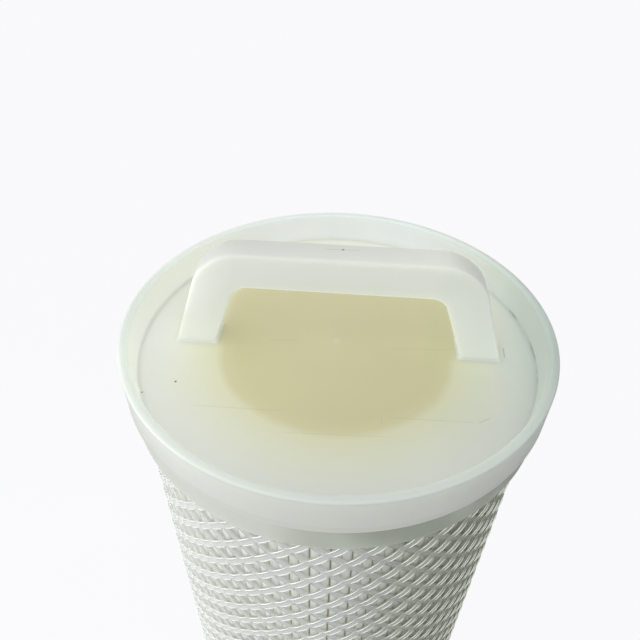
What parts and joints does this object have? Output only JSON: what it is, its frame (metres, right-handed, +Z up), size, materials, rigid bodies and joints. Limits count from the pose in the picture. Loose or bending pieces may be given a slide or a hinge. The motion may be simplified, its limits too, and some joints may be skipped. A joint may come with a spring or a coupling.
{
  "type": "high flow filter cartridge",
  "caption": "Upright pleated filter cartridge in outer netting, with a dished closed cap carrying a moulded lifting handle and an open cap with a sealing spigot.",
  "frame": {"origin": "centre of the sealing spigot's end face, which is the centre of the bounding box's bottom face", "axes": "+Z up along the cartridge's axis from the open end to the closed, handled end; +X along the handle's bar; the picture is taken from the -Y side"},
  "size_m": [0.165, 0.165, 0.5692],
  "materials": {
    "natural_polypropylene": "milky translucent moulded polypropylene with a soft gloss",
    "netting": "clear extruded polypropylene strands, glossy along their edges",
    "nonwoven": "white matt nonwoven polypropylene sheet",
    "core_plastic": "natural moulded polypropylene",
    "seal_rubber": "black moulded elastomer"
  },
  "bodies": {
    "root": {"closed_end_cap": "natural_polypropylene", "open_end_cap": "natural_polypropylene", "o_ring_lower": "seal_rubber", "o_ring_upper": "seal_rubber", "core_section_lower": "core_plastic", "core_section_upper": "core_plastic", "outer_drainage_layer": "nonwoven", "filter_media": "nonwoven", "inner_drainage_layer": "nonwoven", "outer_net": "netting"}
  },
  "joints": []
}
